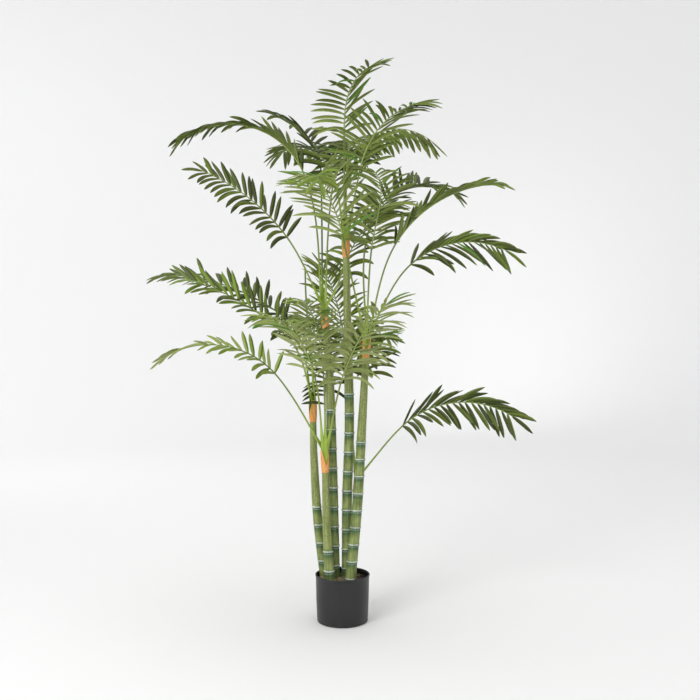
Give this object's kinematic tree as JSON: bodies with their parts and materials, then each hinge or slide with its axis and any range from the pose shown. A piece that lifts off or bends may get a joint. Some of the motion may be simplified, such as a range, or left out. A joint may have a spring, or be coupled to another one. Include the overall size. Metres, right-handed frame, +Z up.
{
  "type": "artificial potted areca palm",
  "caption": "Tall indoor palm: ringed canes with tan collars and arching feather fronds, standing in a plain round nursery pot.",
  "frame": {"origin": "middle of the pot's flat underside, where the plant stands", "axes": "+Z up, -Y towards the front of the plant, +X to its right"},
  "size_m": [1.2691, 0.919, 1.7359],
  "materials": {
    "pot": "satin moulded nursery-pot plastic",
    "fill": "rough cast filling with dry moss",
    "cane": "moulded, with pale painted rings",
    "shaft": "smooth olive, slightly streaked",
    "collar": "matt tan sheath",
    "frond": "printed woven leaf cloth"
  },
  "bodies": {
    "root": {"pot": "pot", "pot_fill": "fill", "cane_a": "cane", "shaft_a": "shaft", "collar_a": "collar", "cane_b": "cane", "shaft_b": "shaft", "collar_b": "collar", "cane_c": "cane", "shaft_c": "shaft", "collar_c": "collar", "cane_d": "cane", "shaft_d": "shaft", "collar_d": "collar", "cane_e": "cane", "shaft_e": "shaft", "collar_e": "collar", "cane_f": "cane", "shaft_f": "shaft", "collar_f": "collar", "frond_a1": "frond", "frond_a2": "frond", "frond_a3": "frond", "frond_a4": "frond", "frond_b1": "frond", "frond_b2": "frond", "frond_b3": "frond", "frond_b4": "frond", "frond_b5": "frond", "frond_c1": "frond", "frond_c2": "frond", "frond_c3": "frond", "frond_c4": "frond", "frond_c5": "frond", "frond_d1": "frond", "frond_d2": "frond", "frond_d3": "frond", "frond_d4": "frond", "frond_d5": "frond", "frond_e1": "frond", "frond_e2": "frond", "frond_e3": "frond", "frond_e4": "frond", "frond_e5": "frond", "frond_e6": "frond", "frond_f1": "frond", "frond_f2": "frond", "frond_f3": "frond"}
  },
  "joints": []
}
